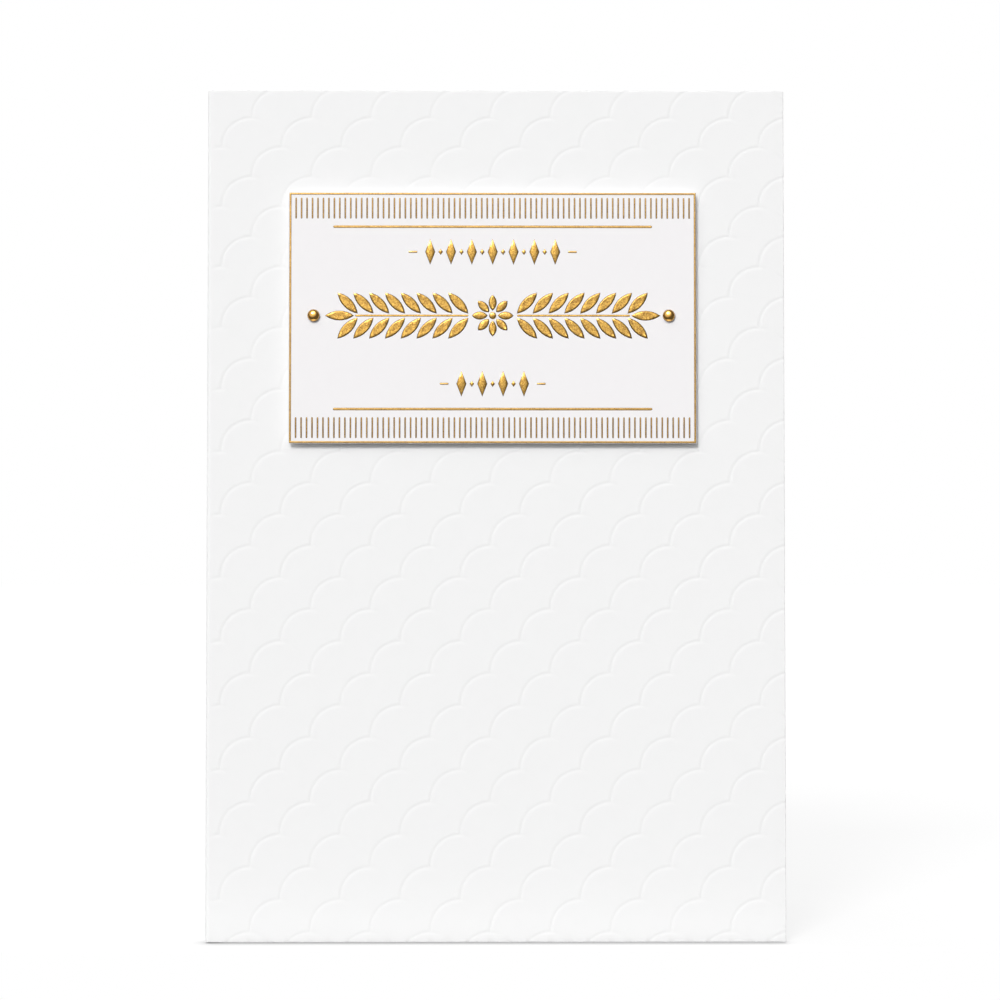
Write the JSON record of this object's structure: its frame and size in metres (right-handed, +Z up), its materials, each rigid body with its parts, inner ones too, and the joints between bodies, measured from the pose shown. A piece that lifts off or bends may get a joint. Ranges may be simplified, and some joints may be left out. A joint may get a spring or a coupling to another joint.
{
  "type": "greeting card",
  "caption": "Folded white greeting card standing open, its front pressed with scallops, with a raised plaque that carries gold foil ticks, a laurel band and domed studs.",
  "frame": {"origin": "centre of the standing card's footprint, on the surface it stands on", "axes": "+X to the right of a reader who faces the front panel, +Y away from the reader towards the back panel's free edge, +Z up; the fold is upright at -X and the front panel is parallel to X and Z"},
  "size_m": [0.1207, 0.0812, 0.1778],
  "materials": {
    "card_board": "uncoated heavy board, matt, blind embossed",
    "plaque_board": "smooth matt board",
    "gold_foil": "satin hot-stamped foil",
    "stud_metal": "polished",
    "foam": "closed-cell adhesive foam"
  },
  "bodies": {
    "root": {"folded_card": "card_board", "plaque": "plaque_board", "foam_pad_1": "foam", "foam_pad_2": "foam", "foam_pad_3": "foam", "foam_pad_4": "foam", "foam_pad_5": "foam", "foam_pad_6": "foam", "foil_border": "gold_foil", "foil_ticks_upper": "gold_foil", "foil_ticks_lower": "gold_foil", "foil_rule_upper": "gold_foil", "foil_rule_lower": "gold_foil", "foil_lozenges_upper": "gold_foil", "foil_lozenges_lower": "gold_foil", "foil_dashes": "gold_foil", "foil_laurel": "gold_foil", "stud_left": "stud_metal", "stud_right": "stud_metal"}
  },
  "joints": []
}
